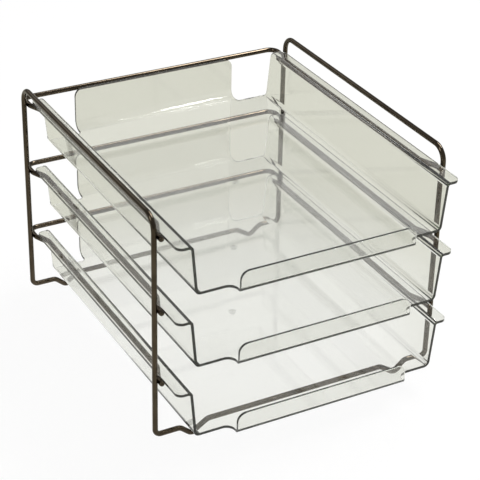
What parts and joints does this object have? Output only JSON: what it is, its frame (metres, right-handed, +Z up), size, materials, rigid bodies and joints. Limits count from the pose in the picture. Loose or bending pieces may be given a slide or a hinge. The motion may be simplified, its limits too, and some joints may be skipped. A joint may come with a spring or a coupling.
{
  "type": "letter tray stack",
  "caption": "Stack of open clear plastic letter trays that hang by their side flanges on a bent wire frame and slide out to the front.",
  "frame": {"origin": "on the floor, below the middle of the bounding box", "axes": "+Z up, +X to the right of someone facing the front, -Y to the front, where the trays slide out"},
  "size_m": [0.2798, 0.3372, 0.223],
  "materials": {
    "polished_wire": "polished plated steel wire",
    "clear_plastic": "clear moulded plastic, slightly grey-green"
  },
  "bodies": {
    "wire_frame": {"left_frame_wire": "polished_wire", "right_frame_wire": "polished_wire", "lower_rail_wire": "polished_wire", "middle_rail_wire": "polished_wire", "upper_rail_wire": "polished_wire"},
    "lower_tray": {"lower_tray": "clear_plastic"},
    "middle_tray": {"middle_tray": "clear_plastic"},
    "upper_tray": {"upper_tray": "clear_plastic"}
  },
  "joints": [
    {"name": "lower_tray_slide", "type": "slide", "parent": "wire_frame", "child": "lower_tray", "axis": [0, -1, 0], "range_m": [-0.001, 0.26]},
    {"name": "middle_tray_slide", "type": "slide", "parent": "wire_frame", "child": "middle_tray", "axis": [0, -1, 0], "range_m": [-0.001, 0.26]},
    {"name": "upper_tray_slide", "type": "slide", "parent": "wire_frame", "child": "upper_tray", "axis": [0, -1, 0], "range_m": [-0.001, 0.26]}
  ]
}
